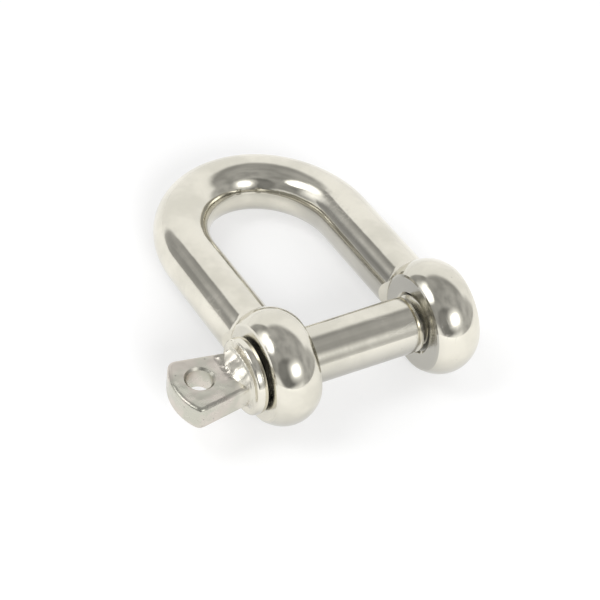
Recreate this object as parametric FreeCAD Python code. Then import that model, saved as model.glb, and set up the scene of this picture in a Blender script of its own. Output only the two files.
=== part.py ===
"""Screw-pin dee shackle: a forged bow with two button eyes, and a screw pin with a flattened, drilled tab.

Frame: +X runs along the pin from its head to its thread, +Y points from the pin to the crown, and +Z is up.
The origin is on the pin's axis, midway between the eyes. The shackle lies as it comes to rest on a bench: on
the rims of both eyes and on the crown, so the bow is tipped a few degrees about the pin's axis.
"""

import FreeCAD, Part
import math
import os
from FreeCAD import Vector

# ---- driving dimensions, in millimetres ----
BAR_R = 4.0  # the bow's round bar, 8 mm in diameter
JAW = 16.0  # clear width between the legs
LEG = 24.3  # straight length of a leg, from the pin's axis to the start of the crown
CROWN_RISE = 14.0  # height of the crown's centre line above the straight legs

EYE_R = 8.0  # an eye's outside radius
EYE_HALF = 3.3  # half of an eye's thickness between its machined faces
EYE_RIM_R = 4.64  # radius of the rounded rim's section
FACE_R = 6.45  # radius of the machined flat round each bore
FACE_BREAK_R = 6.85  # the broken edge beside the flat ends here, just past the rim's corner
FACE_BREAK = 0.17  # and is this deep there
FACE_RAMP_R = 7.7  # radius where the slope beyond it runs out into the leg
BORE_R = 4.1  # plain bore in the head-side eye
BORE_EDGE = 0.3  # chamfer on the mouths of both bores
EYE_BLEND = 1.4  # fillet between a leg and its eye

PITCH = 1.25  # right-hand thread, coarse pitch of the 8 mm size
PITCH_R = 3.594  # the thread's pitch radius
MALE_CREST_R = 3.88
MALE_ROOT_R = 3.14
FEMALE_ROOT_R = 4.05
FEMALE_CREST_R = 3.324
FLANK_PLAY = 0.08  # axial play on each flank

SHANK_R = 3.9  # the pin's plain shank
SHANK_END_X = 7.7
SHANK_CHAMFER = 0.35
TIP_X = 15.9  # the threaded tip, just proud of the far eye
TIP_CHAMFER = 0.8
HEAD_GAP = 0.4  # the pin is backed off by this much from fully tight

COLLAR_R = 5.3
COLLAR_THICK = 1.5
COLLAR_CROWN = 0.2  # how much the rim's edges lie below its middle
COLLAR_CROWN_R = 1.8
COLLAR_BACK_R = 0.2  # rounding of the rim's edge on the side of the eye
COLLAR_FRONT_R = 0.35  # and on the side of the tab
NECK_R = 3.75
NECK_FILLET = 0.6
TAB_HALF_THICK = 1.85
SHOULDER_X = -19.15  # the tab's flat faces end here, and a shoulder slopes up from them to the collar
SHOULDER_TOP = 3.25
SHOULDER_FILLET = 0.9
SHOULDER_ROUND = 4.0  # the shoulder is rounded from side to side, about a line this far below the pin's axis
TAB_ROOT_HALF = 3.25  # half of the tab's width inside the collar
TAB_CORNER_X = -25.3
TAB_CORNER_HALF = 4.8  # half of the tab's width at its outer corners
TAB_END_X = -26.9
TAB_CORNER_R = 1.2
TAB_EDGE_R = 0.6
TAB_HOLE_R = 1.75
TAB_HOLE_X = -23.0
TAB_HOLE_Y = 0.4  # the hole is drilled a little off the tab's middle
TAB_HOLE_EDGE = 0.3

SLACK = 0.1  # allowed when edges are picked by where they lie

# ---- worked out from the driving dimensions ----
LEG_X = JAW / 2 + BAR_R
CROWN_Y = LEG + CROWN_RISE
FLAT_EDGE_R = EYE_R - EYE_RIM_R + math.sqrt(EYE_RIM_R**2 - EYE_HALF**2)
REST_TILT = math.degrees(math.asin((EYE_R - BAR_R) / CROWN_Y))
COLLAR_X = -(LEG_X + EYE_HALF + HEAD_GAP)
NECK_X = COLLAR_X - COLLAR_THICK

ORIGIN = Vector(0, 0, 0)
X_AXIS = Vector(1, 0, 0)
Y_AXIS = Vector(0, 1, 0)
Z_AXIS = Vector(0, 0, 1)


def turned(points):
    """A solid turned about the X axis from an (x, radius) outline of straight lines."""
    outline = Part.makePolygon([Vector(x, r, 0) for x, r in points + points[:1]])
    return Part.Face(outline).revolve(ORIGIN, X_AXIS, 360)


def chain(*pieces):
    """A wire from curves given end to end."""
    return Part.Wire([piece.toShape() for piece in pieces])


def rounded(corners):
    """A closed wire through (x, y, radius) corners, each of them rounded to its radius."""
    points = [Vector(x, y, 0) for x, y, _ in corners]
    bends = []
    for i, (_, _, radius) in enumerate(corners):
        back = (points[i - 1] - points[i]).normalize()
        ahead = (points[(i + 1) % len(points)] - points[i]).normalize()
        half_angle = back.getAngle(ahead) / 2
        reach = radius / math.tan(half_angle)
        inset = (back + ahead).normalize() * (radius / math.sin(half_angle) - radius)
        bends.append((points[i] + back * reach, points[i] + inset, points[i] + ahead * reach))
    pieces = []
    for i, (start, middle, end) in enumerate(bends):
        if corners[i][2] > 0:
            pieces.append(Part.Arc(start, middle, end))
        pieces.append(Part.LineSegment(end, bends[(i + 1) % len(bends)][0]))
    return chain(*pieces)


# ---- thread ----
def thread_section(crest_r, root_r, half_width):
    """Cross-section of a one-start screw: crest arc, flank, root arc, flank."""
    flank_slope = math.tan(math.radians(30))
    turn_per_mm = 2 * math.pi / PITCH
    crest_angle = (half_width - (crest_r - PITCH_R) * flank_slope) * turn_per_mm
    root_angle = (half_width + (PITCH_R - root_r) * flank_slope) * turn_per_mm

    def at(radius, angle):
        return Vector(0, radius * math.cos(angle), radius * math.sin(angle))

    def arc(radius, start, end):
        return Part.Arc(at(radius, start), at(radius, (start + end) / 2), at(radius, end))

    def flank(start, start_r, end, end_r, steps=8):
        curve = Part.BSplineCurve()
        shares = [i / steps for i in range(steps + 1)]
        curve.interpolate([at(start_r + (end_r - start_r) * s, start + (end - start) * s) for s in shares])
        return curve

    full = 2 * math.pi
    return chain(
        arc(crest_r, -crest_angle, crest_angle),
        flank(crest_angle, crest_r, root_angle, root_r),
        arc(root_r, root_angle, full - root_angle),
        flank(full - root_angle, root_r, full - crest_angle, crest_r),
    )


def screw(start_x, end_x, crest_r, root_r, half_width):
    """A right-hand threaded rod along X. Every rod's helix has the same phase at the origin."""
    length = end_x - start_x
    spine = Part.Wire([Part.makeLine(ORIGIN, Vector(length, 0, 0))])
    helix = Part.makeHelix(PITCH, length, 2 * SHANK_R)
    helix.rotate(ORIGIN, Y_AXIS, 90)
    sweep = Part.BRepOffsetAPI.MakePipeShell(spine)
    sweep.setAuxiliarySpine(Part.Wire(helix), True, 0)
    sweep.add(thread_section(crest_r, root_r, half_width))
    sweep.build()
    sweep.makeSolid()
    rod = sweep.shape()
    rod.rotate(ORIGIN, X_AXIS, 360 * start_x / PITCH)
    rod.translate(Vector(start_x, 0, 0))
    return rod


# ---- bow ----
def bar():
    """The round bar: two straight legs and a crown that is half of an ellipse."""
    left_foot = Vector(-LEG_X, 0, 0)
    left_top = Vector(-LEG_X, LEG, 0)
    right_top = Vector(LEG_X, LEG, 0)
    right_foot = Vector(LEG_X, 0, 0)
    crown = Part.Ellipse(Vector(0, CROWN_Y, 0), left_top, Vector(0, LEG, 0))
    crown = Part.ArcOfEllipse(crown, -math.pi / 2, math.pi / 2).toShape()
    path = Part.Wire(
        Part.__sortEdges__(
            [Part.makeLine(left_foot, left_top), crown, Part.makeLine(right_top, right_foot)]
        )
    )
    section = Part.Wire([Part.makeCircle(BAR_R, left_foot, Y_AXIS)])
    return path.makePipeShell([section], True, True)


def eye(centre_x):
    """A button eye: two flat faces and a full, rounded rim."""
    low, high = centre_x - EYE_HALF, centre_x + EYE_HALF
    rim = Part.Arc(Vector(low, FLAT_EDGE_R, 0), Vector(centre_x, EYE_R, 0), Vector(high, FLAT_EDGE_R, 0))
    outline = chain(
        Part.LineSegment(Vector(low, 0, 0), Vector(low, FLAT_EDGE_R, 0)),
        rim,
        Part.LineSegment(Vector(high, FLAT_EDGE_R, 0), Vector(high, 0, 0)),
        Part.LineSegment(Vector(high, 0, 0), Vector(low, 0, 0)),
    )
    return Part.Face(outline).revolve(ORIGIN, X_AXIS, 360)


def face_cutter(centre_x, side):
    """What is machined off beside an eye: a flat, a broken edge, then a slope that runs out into the leg."""
    flat_x = centre_x + side * EYE_HALF
    break_x = flat_x - side * FACE_BREAK
    out_x = centre_x + side * BAR_R
    far_x = out_x + side * BAR_R
    return turned(
        [
            (flat_x, 0),
            (flat_x, FACE_R),
            (break_x, FACE_BREAK_R),
            (out_x, FACE_RAMP_R),
            (far_x, FACE_RAMP_R + BAR_R),
            (far_x, 0),
        ]
    )


def bore_mouths(centre_x, bore_r):
    """Two cones that chamfer the mouths of a bore."""
    cones = []
    for side in (-1, 1):
        mouth_x = centre_x + side * EYE_HALF
        deep_x = mouth_x - side * BORE_EDGE
        cones.append(turned([(mouth_x, 0), (mouth_x, bore_r + BORE_EDGE), (deep_x, bore_r), (deep_x, 0)]))
    return cones


def joins_leg_to_eye(edge):
    """Whether an edge lies where a leg runs into its eye: above or below the leg, and within the eye."""
    box = edge.BoundBox
    beside_leg = box.ZMin > BAR_R / 2 or box.ZMax < -BAR_R / 2
    near_leg = max(abs(box.ZMin), abs(box.ZMax)) < BAR_R + SLACK
    return beside_leg and near_leg and -SLACK < box.YMin and box.YMax < EYE_R


def bow():
    body = bar().fuse([eye(-LEG_X), eye(LEG_X)]).removeSplitter()
    body = body.makeFillet(EYE_BLEND, [edge for edge in body.Edges if joins_leg_to_eye(edge)])
    body = body.cut([face_cutter(x, side) for x in (-LEG_X, LEG_X) for side in (-1, 1)])
    body = body.removeSplitter()
    half_width = PITCH / 4 + FLANK_PLAY / 2
    tap_start, tap_end = LEG_X - EYE_HALF - PITCH, LEG_X + EYE_HALF + PITCH
    tap = screw(tap_start, tap_end, FEMALE_ROOT_R, FEMALE_CREST_R, half_width)
    drill = Part.makeCylinder(BORE_R, 4 * EYE_HALF, Vector(-LEG_X - 2 * EYE_HALF, 0, 0), X_AXIS)
    body = body.cut([drill, tap] + bore_mouths(-LEG_X, BORE_R) + bore_mouths(LEG_X, FEMALE_ROOT_R))
    body.rotate(ORIGIN, X_AXIS, -REST_TILT)
    return body


# ---- pin ----
def pin_shank():
    """The plain shank, from the collar to the start of the thread."""
    return turned(
        [
            (COLLAR_X, 0),
            (COLLAR_X, SHANK_R),
            (SHANK_END_X - SHANK_CHAMFER, SHANK_R),
            (SHANK_END_X, SHANK_R - SHANK_CHAMFER),
            (SHANK_END_X, 0),
        ]
    )


def tab_plate():
    """The flat tab, widening from the neck to two rounded corners, with a bowed end and soft edges."""
    inner_x = COLLAR_X - COLLAR_THICK / 2
    corner_top = Vector(TAB_CORNER_X, TAB_CORNER_HALF, 0)
    corner_low = Vector(TAB_CORNER_X, -TAB_CORNER_HALF, 0)
    root_top = Vector(inner_x, TAB_ROOT_HALF, 0)
    root_low = Vector(inner_x, -TAB_ROOT_HALF, 0)
    outline = chain(
        Part.LineSegment(root_top, corner_top),
        Part.Arc(corner_top, Vector(TAB_END_X, 0, 0), corner_low),
        Part.LineSegment(corner_low, root_low),
        Part.LineSegment(root_low, root_top),
    )
    plate = Part.Face(outline).extrude(Vector(0, 0, 2 * TAB_HALF_THICK))
    plate.translate(Vector(0, 0, -TAB_HALF_THICK))
    upright = [edge for edge in plate.Edges if edge.BoundBox.ZLength > TAB_HALF_THICK]
    corners = [edge for edge in upright if edge.BoundBox.XMax < TAB_HOLE_X]
    plate = plate.makeFillet(TAB_CORNER_R, corners)
    level = [edge for edge in plate.Edges if edge.BoundBox.ZLength < TAB_EDGE_R]
    rims = [edge for edge in level if edge.BoundBox.XMin < inner_x - SLACK]
    return plate.makeFillet(TAB_EDGE_R, rims)


def head_blank():
    """The collar and the neck as turned, before the neck is flattened into the tab."""
    end_x = SHOULDER_X - SHOULDER_FILLET
    outline = rounded(
        [
            (COLLAR_X, 0, 0),
            (COLLAR_X, COLLAR_R - COLLAR_CROWN, COLLAR_BACK_R),
            ((COLLAR_X + NECK_X) / 2, COLLAR_R, COLLAR_CROWN_R),
            (NECK_X, COLLAR_R - COLLAR_CROWN, COLLAR_FRONT_R),
            (NECK_X, NECK_R, NECK_FILLET),
            (end_x, NECK_R, 0),
            (end_x, 0, 0),
        ]
    )
    return Part.Face(outline).revolve(ORIGIN, X_AXIS, 360)


def neck_side(side):
    """What is taken off one side of the neck: down to the tab's flat face, then up a slope to the collar."""
    outline = rounded(
        [
            (TAB_END_X, TAB_HALF_THICK, 0),
            (SHOULDER_X, TAB_HALF_THICK, SHOULDER_FILLET),
            (NECK_X, SHOULDER_TOP, NECK_FILLET),
            (NECK_X, 2 * NECK_R, 0),
            (TAB_END_X, 2 * NECK_R, 0),
        ]
    )
    cutter = Part.Face(outline).revolve(Vector(0, -SHOULDER_ROUND, 0), X_AXIS, 360)
    cutter.rotate(ORIGIN, X_AXIS, side * 90)
    return cutter


def tab_hole():
    """The lanyard hole, with its mouths countersunk a little."""
    foot = Vector(TAB_HOLE_X, TAB_HOLE_Y, -2 * TAB_HALF_THICK)
    cutters = [Part.makeCylinder(TAB_HOLE_R, 4 * TAB_HALF_THICK, foot, Z_AXIS)]
    for side in (-1, 1):
        deep = Vector(TAB_HOLE_X, TAB_HOLE_Y, side * (TAB_HALF_THICK - TAB_HOLE_EDGE))
        mouth = Part.makeCone(TAB_HOLE_R, TAB_HOLE_R + TAB_HOLE_EDGE, TAB_HOLE_EDGE, deep, Z_AXIS * side)
        cutters.append(mouth)
    return cutters


def pin_head():
    """The tab, its neck and the collar, in one piece."""
    neck = head_blank().cut([neck_side(1), neck_side(-1)])
    return neck.fuse(tab_plate()).cut(tab_hole()).removeSplitter()


def pin_thread():
    """The thread, in mesh with the far eye, with a chamfered tip."""
    half_width = PITCH / 4 - FLANK_PLAY / 2
    rod = screw(SHANK_END_X - PITCH, TIP_X + PITCH, MALE_CREST_R, MALE_ROOT_R, half_width)
    envelope = turned(
        [
            (SHANK_END_X, 0),
            (SHANK_END_X, SHANK_R),
            (TIP_X - TIP_CHAMFER, SHANK_R),
            (TIP_X, SHANK_R - TIP_CHAMFER),
            (TIP_X, 0),
        ]
    )
    return rod.common(envelope)


if __name__ == "__main__":
    os.makedirs("parts", exist_ok=True)
    for name, make in (
        ("bow", bow),
        ("pin_head", pin_head),
        ("pin_shank", pin_shank),
        ("pin_thread", pin_thread),
    ):
        shape = make()
        print(name, shape.isValid(), shape.ShapeType, len(shape.Solids), round(shape.Volume, 1))
        shape.exportStep(f"parts/{name}.step")
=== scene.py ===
"""Dee shackle with a screw pin, lying on its side on a white table: materials, light and camera.

Every visible piece is a CAD node of the frame, which keeps its shape and gets its surface finish here.
Sizes are in metres, in the frame of the CAD: +X along the pin, +Y to the crown, +Z up. The finishes are
worked out in millimetres.
"""

import math

import bpy
from mathutils import Matrix, Vector


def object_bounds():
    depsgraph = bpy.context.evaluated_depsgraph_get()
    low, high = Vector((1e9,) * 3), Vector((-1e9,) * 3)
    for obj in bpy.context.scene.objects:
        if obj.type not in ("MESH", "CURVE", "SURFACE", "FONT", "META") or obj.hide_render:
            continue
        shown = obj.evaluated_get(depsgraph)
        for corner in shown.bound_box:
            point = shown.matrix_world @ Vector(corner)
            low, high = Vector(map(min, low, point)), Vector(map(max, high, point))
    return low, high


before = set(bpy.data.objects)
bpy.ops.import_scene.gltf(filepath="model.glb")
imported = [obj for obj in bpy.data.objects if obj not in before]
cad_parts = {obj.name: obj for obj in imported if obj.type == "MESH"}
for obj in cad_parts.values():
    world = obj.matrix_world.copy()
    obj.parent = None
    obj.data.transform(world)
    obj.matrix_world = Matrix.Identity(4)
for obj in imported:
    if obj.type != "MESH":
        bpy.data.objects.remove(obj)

CAD_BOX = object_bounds()

# ---- camera: the product view, from the head side and above ----
BAR = 0.008  # the bow's bar diameter, the unit of the view's distances
AZIMUTH, ELEVATION, ROLL = -33.763, 44.367, 7.965
DISTANCE = 34.109 * BAR
AIM_RIGHT, AIM_UP = -0.923 * BAR, 0.676 * BAR
LENS = 123.44

# ---- studio: a pale tent with soft oval patches, placed by direction, azimuths from the view's own ----
TENT_LEVEL = 1.0
OVAL_POWER = 2.5  # between an ellipse at 2 and a rectangle
# name, azimuth, elevation, half width, half height, tilt, soft edge, brightness; later ones lie on top
PATCHES = (
    ("ceiling", 14, 67, 62, 58, -28, 7, 0.4),
    ("camera side", 9, 28, 28, 28, 28, 5, 0.215),
    ("right opening", 87, 11, 32, 25, 5, 7, 0.46),
    ("left opening", -106, 28, 20, 28, -4, 2, 0.38),
    ("front opening", -57, 21, 25, 11, 13, 4, 0.285),
    ("left lamp's foot", -86, 27, 14, 7, -22, 9, 1.6),
    ("left lamp's spill", -92, 43, 10, 7, -10, 6, 2.2),
    ("left lamp", -70, 47, 11, 7, -9, 5, 3.6),
    ("right lamp's glow", 40, 32.5, 20, 17, 2, 9, 1.1),
    ("right lamp", 40, 32.5, 13, 10, 2, 5, 2.6),
)

# lamps that shade the table: name, azimuth, elevation, watts
LAMPS = (("left_lamp", -83, 62, 0.5), ("front_lamp", 18, 30, 2.0))
LAMP_WIDTH = 0.25
LAMP_DISTANCE = 0.6
TABLE_HALF = 3.0
TABLE_ALBEDO = 0.58
TABLE_GLOW = 0.46  # stands for the tent's light that reaches the table

# ---- finish ----
MM = 0.001  # one millimetre, in metres
PALE_STEEL, DEEP_STEEL = (0.81, 0.78, 0.685), (0.69, 0.665, 0.58)
CAST_PINK, CAST_GREEN = (0.64, 0.59, 0.53), (0.56, 0.555, 0.48)
SHADED_STEEL = (0.46, 0.45, 0.415)  # painted shade: a duller, darker steel for undersides and faces turned inward to the jaw
# painted shade, near black: between the collar and the eye, in bores and pits, and in thread roots where
# grease also sits
GRIME_AND_SHADE = (0.15, 0.148, 0.14)
HEAD_CAST_X = -17.2  # mm: the tab and its neck are left as cast beyond here
STROKE = 1.1  # mm: width of the strokes that were ground across the shoulders of the tab
FACE_R = 6.5  # mm: the machined ring round each bore
LEG_X = 12.0  # mm: the legs' distance from the middle
BORE_R = 4.15  # mm: anything nearer the pin's axis than this is inside a bore
COLLAR_R = 5.3  # mm
COLLAR_X = -15.7  # mm: the collar's face that closes on the eye
EYE_FACE_X = -15.3  # mm: the eye's face there


class Nodes:
    """Short helpers to add and join shader nodes in one tree."""

    def __init__(self, tree):
        self.tree = tree

    def add(self, kind, inputs=None, **settings):
        node = self.tree.nodes.new(kind)
        for key, value in settings.items():
            setattr(node, key, value)
        for key, value in (inputs or {}).items():
            self.feed(node.inputs[key], value)
        return node

    def feed(self, socket, value):
        if isinstance(value, bpy.types.NodeSocket):
            self.tree.links.new(value, socket)
        else:
            socket.default_value = value

    def math(self, operation, *values):
        return self.add("ShaderNodeMath", dict(enumerate(values)), operation=operation).outputs[0]

    def total(self, *values):
        result = values[0]
        for value in values[1:]:
            result = self.math("ADD", result, value)
        return result

    def times(self, *values):
        result = values[0]
        for value in values[1:]:
            result = self.math("MULTIPLY", result, value)
        return result

    def ramp(self, value, low, high, out_low=0.0, out_high=1.0):
        """A smooth step: out_low below low, out_high above high."""
        node = self.add("ShaderNodeMapRange", interpolation_type="SMOOTHSTEP")
        names = ("Value", "From Min", "From Max", "To Min", "To Max")
        for name, number in zip(names, (value, low, high, out_low, out_high)):
            self.feed(node.inputs[name], number)
        return node.outputs["Result"]

    def along(self, direction, axis):
        """The part of a direction that points along a fixed axis."""
        node = self.add("ShaderNodeVectorMath", {0: direction, 1: axis}, operation="DOT_PRODUCT")
        return node.outputs["Value"]

    def blend(self, share, low, high):
        """One colour at share 0, another at share 1."""
        node = self.add("ShaderNodeMix", data_type="RGBA")
        colours = [socket for socket in node.inputs if socket.type == "RGBA"]
        self.feed(node.inputs["Factor"], share)
        for socket, colour in zip(colours, (low, high)):
            self.feed(socket, colour if isinstance(colour, bpy.types.NodeSocket) else (*colour, 1))
        return next(socket for socket in node.outputs if socket.type == "RGBA")

    def noise(self, place, size, detail=2.0, turn=(0, 0, 0)):
        """Noise with features of a given size, per axis, after the axes are turned."""
        size = size if isinstance(size, tuple) else (size, size, size)
        turn = tuple(math.radians(a) for a in turn)
        inputs = {"Vector": place, "Rotation": turn, "Scale": size}
        mapped = self.add("ShaderNodeMapping", inputs, vector_type="TEXTURE").outputs["Vector"]
        inputs = {"Vector": mapped, "Scale": 1.0, "Detail": detail}
        return self.add("ShaderNodeTexNoise", inputs).outputs["Fac"]


def aimed(azimuth, elevation, roll=0.0):
    """Three unit axes of something placed by its direction: toward it, and its right and up after a roll."""
    azimuth, elevation, roll = (math.radians(a) for a in (azimuth, elevation, roll))
    toward = Vector(
        (
            math.sin(azimuth) * math.cos(elevation),
            -math.cos(azimuth) * math.cos(elevation),
            math.sin(elevation),
        )
    )
    level = Vector((math.cos(azimuth), math.sin(azimuth), 0))
    upright = toward.cross(level)
    right = math.cos(roll) * level + math.sin(roll) * upright
    up = math.cos(roll) * upright - math.sin(roll) * level
    return toward, right, up


def add_camera():
    back, right, up = aimed(AZIMUTH, ELEVATION, ROLL)
    data = bpy.data.cameras.new("product_camera")
    data.lens = LENS
    data.sensor_width = 36
    data.clip_start, data.clip_end = 0.01, 20
    camera = bpy.data.objects.new("product_camera", data)
    camera.matrix_world = Matrix((right, up, back)).transposed().to_4x4()
    camera.location = right * AIM_RIGHT + up * AIM_UP + back * DISTANCE
    bpy.context.scene.collection.objects.link(camera)
    bpy.context.scene.camera = camera


def add_floor():
    lowest = CAD_BOX[0].z
    corners = [(x * TABLE_HALF, y * TABLE_HALF, lowest) for x, y in ((-1, -1), (1, -1), (1, 1), (-1, 1))]
    mesh = bpy.data.meshes.new("table")
    mesh.from_pydata(corners, [], [(0, 1, 2, 3)])
    floor = bpy.data.objects.new("table", mesh)
    bpy.context.scene.collection.objects.link(floor)
    material = bpy.data.materials.new("table_white")
    material.use_nodes = True
    shader = material.node_tree.nodes["Principled BSDF"]
    shader.inputs["Base Color"].default_value = (TABLE_ALBEDO, TABLE_ALBEDO, TABLE_ALBEDO, 1)
    shader.inputs["Roughness"].default_value = 0.8
    shader.inputs["Specular IOR Level"].default_value = 0.2
    shader.inputs["Emission Color"].default_value = (1, 1, 1, 1)
    shader.inputs["Emission Strength"].default_value = TABLE_GLOW
    mesh.materials.append(material)


def add_lamps():
    """Two soft lamps that shade the table. The steel mirrors the tent's own patches instead of these."""
    for name, azimuth, elevation, watts in LAMPS:
        toward, _, _ = aimed(azimuth + AZIMUTH, elevation)
        data = bpy.data.lights.new(name, "AREA")
        data.shape = "DISK"
        data.size = LAMP_WIDTH
        data.energy = watts
        lamp = bpy.data.objects.new(name, data)
        lamp.location = toward * LAMP_DISTANCE
        lamp.rotation_mode = "QUATERNION"
        lamp.rotation_quaternion = toward.to_track_quat("Z", "Y")
        lamp.visible_glossy = False
        bpy.context.scene.collection.objects.link(lamp)


def patch_share(make, direction, azimuth, elevation, half_width, half_height, tilt, soft):
    """How much of a soft oval patch lies in a direction: 1 well inside it, 0 outside."""
    centre, aside, above = aimed(azimuth + AZIMUTH, elevation, tilt)
    facing = make.math("MAXIMUM", make.math("ADD", make.along(direction, centre), 1.0), 0.001)
    spans = []
    for axis, half_angle in ((aside, half_width), (above, half_height)):
        reach = make.math("DIVIDE", make.math("ABSOLUTE", make.along(direction, axis)), facing)
        span = make.math("DIVIDE", reach, math.tan(math.radians(half_angle) / 2))
        spans.append(make.math("POWER", span, OVAL_POWER))
    edge = make.math("POWER", make.total(*spans), 1 / OVAL_POWER)
    blur = soft / min(half_width, half_height)
    return make.ramp(edge, 1 - blur, 1 + blur, 1.0, 0.0)


def add_room():
    """A tent with soft lamps and uneven dark openings, plain white where the camera sees past the table."""
    world = bpy.data.worlds.new("studio")
    world.use_nodes = True
    bpy.context.scene.world = world
    make = Nodes(world.node_tree)
    background = world.node_tree.nodes["Background"]
    direction = make.add("ShaderNodeTexCoord").outputs["Generated"]
    uneven = make.ramp(make.noise(direction, 0.4, 2.0), 0.3, 0.7, 0.78, 1.2)
    level = TENT_LEVEL
    for name, *shape, brightness in PATCHES:
        share = patch_share(make, direction, *shape)
        if brightness < TENT_LEVEL:
            brightness = make.times(brightness, uneven)
        mix = make.add("ShaderNodeMix", {"Factor": share, "A": level, "B": brightness}, label=name)
        level = mix.outputs["Result"]
    seen = make.add("ShaderNodeLightPath").outputs["Is Camera Ray"]
    level = make.add("ShaderNodeMix", {"Factor": seen, "A": level, "B": 1.0}).outputs["Result"]
    background.inputs["Color"].default_value = (1, 1, 1, 1)
    make.feed(background.inputs["Strength"], level)


# ---- materials ----
class Steel(Nodes):
    """A stainless steel under construction, with places in millimetres and radii about the pin's axis."""

    def __init__(self, name):
        self.material = bpy.data.materials.new(name)
        self.material.use_nodes = True
        super().__init__(self.material.node_tree)
        spots = self.add("ShaderNodeTexCoord").outputs
        inputs = {0: spots["Object"], "Scale": 1 / MM}
        scaled = self.add("ShaderNodeVectorMath", inputs, operation="SCALE")
        self.place = scaled.outputs["Vector"]
        axes = self.add("ShaderNodeSeparateXYZ", {0: self.place}).outputs
        self.x, self.y = axes["X"], axes["Y"]
        squares = self.total(self.math("POWER", axes["Y"], 2.0), self.math("POWER", axes["Z"], 2.0))
        self.radius = self.math("SQRT", squares)
        facing = self.add("ShaderNodeSeparateXYZ", {0: spots["Normal"]}).outputs
        self.end_on = self.math("ABSOLUTE", facing["X"])
        self.inward = self.times(facing["X"], self.x, -1 / LEG_X)
        self.upward = facing["Z"]
        drift = self.noise(self.place, 7.0, 4.0)
        clean = self.blend(self.ramp(drift, 0.36, 0.64), DEEP_STEEL, PALE_STEEL)
        # painted shade: the steel turns darker toward its undersides
        self.tint = self.blend(self.ramp(self.upward, -0.75, 0.05, 0.9, 0.0), clean, SHADED_STEEL)

    def scratches(self, turns, share):
        """Hairline scratches, thin across and long along, in several directions: 1 in a scratch, else 0."""
        worn = self.ramp(self.noise(self.place, 7.0, 2.0), 0.6 - share, 0.75 - share)
        lines = 0.0
        for turn in turns:
            line = self.ramp(self.noise(self.place, (0.05, 11.0, 3.0), 1.0, turn), 0.69, 0.73)
            lines = self.math("MAXIMUM", lines, line)
        return self.times(lines, worn)

    def pits(self, spacing, size):
        """Small round pits in about a fifth of the cells of a coarse lattice: 1 in a pit, else 0."""
        cells = self.add("ShaderNodeTexVoronoi", {"Vector": self.place, "Scale": 1 / spacing}).outputs
        chosen = self.math("GREATER_THAN", self.along(cells["Color"], (1, 0, 0)), 0.8)
        return self.times(self.ramp(cells["Distance"], size * 0.5, size, 1.0, 0.0), chosen)

    def rings(self, distance, pitch, unevenness):
        """Tool marks: fine waves along a distance, from -1 to 1, stronger and weaker in places."""
        wave = self.math("SINE", self.times(distance, 2 * math.pi / pitch))
        return self.times(wave, self.ramp(unevenness, 0.3, 0.7, 0.25, 1.0))

    def finish(self, roughness, height):
        """Join the tint, the roughness and a height in millimetres to the shader."""
        shader = self.tree.nodes["Principled BSDF"]
        shader.inputs["Metallic"].default_value = 1.0
        self.feed(shader.inputs["Base Color"], self.tint)
        self.feed(shader.inputs["Roughness"], roughness)
        bump = self.add("ShaderNodeBump", {"Height": height, "Strength": 1.0, "Distance": MM})
        self.feed(shader.inputs["Normal"], bump.outputs["Normal"])
        return self.material


def polished_stainless():
    """The bow: mirror polished over a slightly wavy forging, with turned faces, and painted shade in the
    bores, pits, under the collar and on faces turned inward.
    """
    steel = Steel("polished_stainless")
    face = steel.times(
        steel.ramp(steel.end_on, 0.96, 0.985),
        steel.ramp(steel.radius, FACE_R - 0.05, FACE_R + 0.1, 1.0, 0.0),
    )
    bore = steel.ramp(steel.radius, BORE_R - 0.35, BORE_R, 1.0, 0.0)
    smears = steel.ramp(steel.noise(steel.place, (3.0, 9.0, 3.0), 5.0), 0.45, 0.72)
    fine = steel.noise(steel.place, 0.22, 3.0)
    scratch = steel.scratches(((0, 0, 12), (20, 0, 74), (0, 35, -38), (60, 10, 110)), 0.1)
    pits = steel.pits(1.9, 0.05)
    rings = steel.rings(steel.radius, 0.21, steel.noise(steel.place, 1.7))
    roughness = steel.total(
        0.07,
        steel.times(smears, 0.05),
        steel.times(fine, 0.03),
        steel.times(scratch, 0.14),
        steel.times(face, 0.09),
        steel.times(bore, 0.25),
    )
    height = steel.total(
        steel.times(steel.noise(steel.place, 5.5, 1.0), 0.05),
        steel.times(steel.noise(steel.place, 1.1, 1.0), 0.005),
        steel.times(fine, 0.0012),
        steel.times(scratch, -0.0015),
        steel.times(pits, -0.01),
        steel.times(rings, face, 0.0011),
    )
    # painted shade on faces turned inward toward the jaw
    inward_shade = steel.ramp(steel.inward, 0.4, 0.75, 0.0, 0.85)
    under_collar = steel.times(
        face,
        steel.ramp(steel.x, EYE_FACE_X + 0.05, EYE_FACE_X + 0.1, 1.0, 0.0),
        steel.ramp(steel.radius, 4.7, COLLAR_R, 0.6, 0.0),
    )
    # painted shade: darker on inward faces, dark on the eye's face under the collar, in the bores and in the
    # pits
    steel.tint = steel.blend(inward_shade, steel.tint, SHADED_STEEL)
    steel.tint = steel.blend(under_collar, steel.tint, GRIME_AND_SHADE)
    steel.tint = steel.blend(steel.times(bore, 0.6), steel.tint, GRIME_AND_SHADE)
    steel.tint = steel.blend(steel.times(pits, 0.4), steel.tint, GRIME_AND_SHADE)
    return steel.finish(roughness, height)


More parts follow.
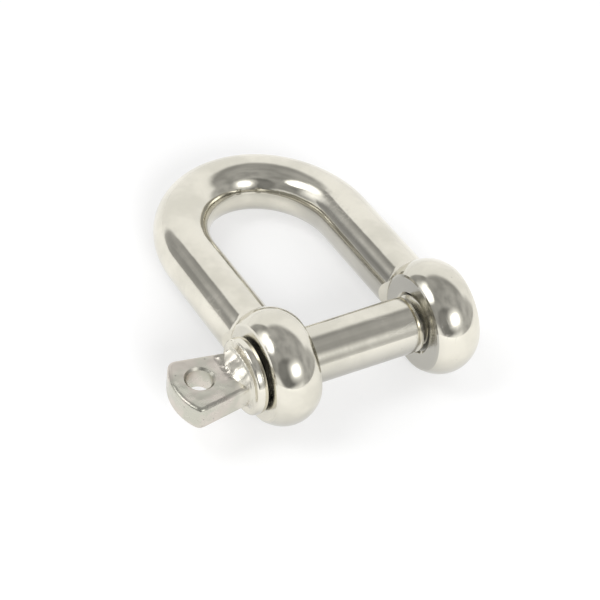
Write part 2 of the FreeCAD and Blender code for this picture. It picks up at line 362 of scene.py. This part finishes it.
def turned_stainless():
    """The shank: fine lathe marks round it, with faint rubbing marks along it."""
    steel = Steel("turned_stainless")
    rings = steel.rings(steel.x, 0.13, steel.noise(steel.place, (0.8, 6.0, 6.0)))
    bands = steel.noise(steel.place, (0.35, 9.0, 9.0), 4.0)
    rubbed = steel.ramp(steel.noise(steel.place, (9.0, 0.35, 0.35), 3.0), 0.55, 0.75)
    scratch = steel.scratches(((0, 0, 62), (30, 0, 81), (-40, 15, 97)), 0.16)
    # the shank's stretch under the collar: rougher, and darkened there with painted shade
    under_collar = steel.ramp(steel.x, EYE_FACE_X, EYE_FACE_X + 0.3, 0.8, 0.0)
    roughness = steel.total(
        0.09,
        steel.times(bands, 0.08),
        steel.times(rubbed, 0.06),
        steel.times(scratch, 0.15),
        steel.times(under_collar, 0.2),
    )
    height = steel.total(
        steel.times(rings, 0.0005),
        steel.times(bands, 0.0035),
        steel.times(rubbed, -0.0012),
        steel.times(scratch, -0.0015),
        steel.times(steel.noise(steel.place, 4.0, 1.0), 0.02),
    )
    # painted shade: darker toward the shank's underside, and dark under the collar
    steel.tint = steel.blend(steel.ramp(steel.upward, -0.3, 0.6, 0.8, 0.0), steel.tint, SHADED_STEEL)
    steel.tint = steel.blend(under_collar, steel.tint, GRIME_AND_SHADE)
    return steel.finish(roughness, height)


def threaded_stainless():
    """The thread: cut bright on its crests, with grease left in its roots, which are rougher and darkened by
    painted shade.
    """
    steel = Steel("threaded_stainless")
    patchy = steel.noise(steel.place, 0.9, 4.0)
    tip = steel.ramp(steel.end_on, 0.93, 0.98)
    root = steel.math("SUBTRACT", steel.ramp(steel.radius, 3.2, 3.7, 1.0, 0.0), tip)
    root = steel.math("MAXIMUM", root, 0.0)
    # grease in the roots makes them rougher; their darkening is painted shade
    root_grease_and_shade = steel.times(root, steel.ramp(patchy, 0.25, 0.65, 0.25, 0.8))
    marks = steel.noise(steel.place, (0.12, 1.8, 1.8), 3.0)
    roughness = steel.total(0.12, steel.times(marks, 0.1), steel.times(root_grease_and_shade, 0.3))
    rings = steel.rings(steel.radius, 0.16, patchy)
    height = steel.total(
        steel.times(marks, 0.002),
        steel.times(patchy, root_grease_and_shade, 0.01),
        steel.times(rings, tip, 0.001),
    )
    # painted shade in the thread roots
    steel.tint = steel.blend(root_grease_and_shade, steel.tint, GRIME_AND_SHADE)
    return steel.finish(roughness, height)


def cast_stainless():
    """The head: a satin casting, lumpy most of all on its shoulders, with a bright turned collar."""
    steel = Steel("cast_stainless")
    cast = steel.ramp(steel.x, HEAD_CAST_X - 0.1, HEAD_CAST_X + 0.1, 1.0, 0.0)
    shoulder = steel.times(cast, steel.ramp(steel.x, -19.9, -18.7))
    lumps = steel.noise(steel.place, 1.7, 1.0)
    uneven_y = steel.math("ADD", steel.y, steel.times(steel.noise(steel.place, 2.2, 0.0), 1.6))
    strokes = steel.math("FRACT", steel.times(uneven_y, 1 / STROKE))
    grain = steel.noise(steel.place, 0.2, 4.0)
    pits = steel.times(steel.pits(0.8, 0.2), cast)
    polish = steel.ramp(steel.noise(steel.place, 2.6, 3.0), 0.42, 0.66)
    scratch = steel.scratches(((0, 0, 25), (0, 0, -52), (30, 20, 85)), 0.2)
    marks = steel.rings(steel.x, 0.12, grain)
    roughness = steel.total(
        0.075,
        steel.times(cast, steel.ramp(polish, 0.0, 1.0, 0.22, 0.12)),
        steel.times(grain, cast, 0.08),
        steel.times(scratch, 0.1),
        steel.times(pits, 0.2),
    )
    height = steel.total(
        steel.times(lumps, cast, 0.09),
        steel.times(steel.noise(steel.place, 1.4, 0.0), shoulder, 0.1),
        steel.times(strokes, shoulder, steel.ramp(steel.y, -2.6, 2.4, 0.02, 0.5)),
        steel.times(grain, steel.ramp(cast, 0.0, 1.0, 0.0004, 0.009)),
        steel.times(scratch, -0.0015),
        steel.times(pits, -0.012),
        steel.times(marks, steel.math("SUBTRACT", 1.0, cast), 0.0003),
    )
    flat = steel.math("SUBTRACT", cast, steel.times(shoulder, 0.7))
    skin = steel.blend(steel.ramp(steel.noise(steel.place, 3.0, 3.0), 0.4, 0.6), CAST_PINK, CAST_GREEN)
    steel.tint = steel.blend(steel.times(flat, 0.9), steel.tint, skin)
    # painted shade on the collar's face that closes on the eye, and in the pits
    back = steel.ramp(steel.x, COLLAR_X - 0.1, COLLAR_X - 0.02, 0.0, 0.6)
    steel.tint = steel.blend(steel.math("MAXIMUM", back, steel.times(pits, 0.3)), steel.tint, GRIME_AND_SHADE)
    return steel.finish(roughness, height)


def dress(name, material):
    """Give a CAD node one material all over."""
    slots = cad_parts[name].data.materials
    slots.clear()
    slots.append(material)


dress("bow", polished_stainless())
dress("pin_head", cast_stainless())
dress("pin_shank", turned_stainless())
dress("pin_thread", threaded_stainless())
add_floor()
add_room()
add_lamps()
add_camera()
bpy.context.scene.view_settings.view_transform = "Standard"
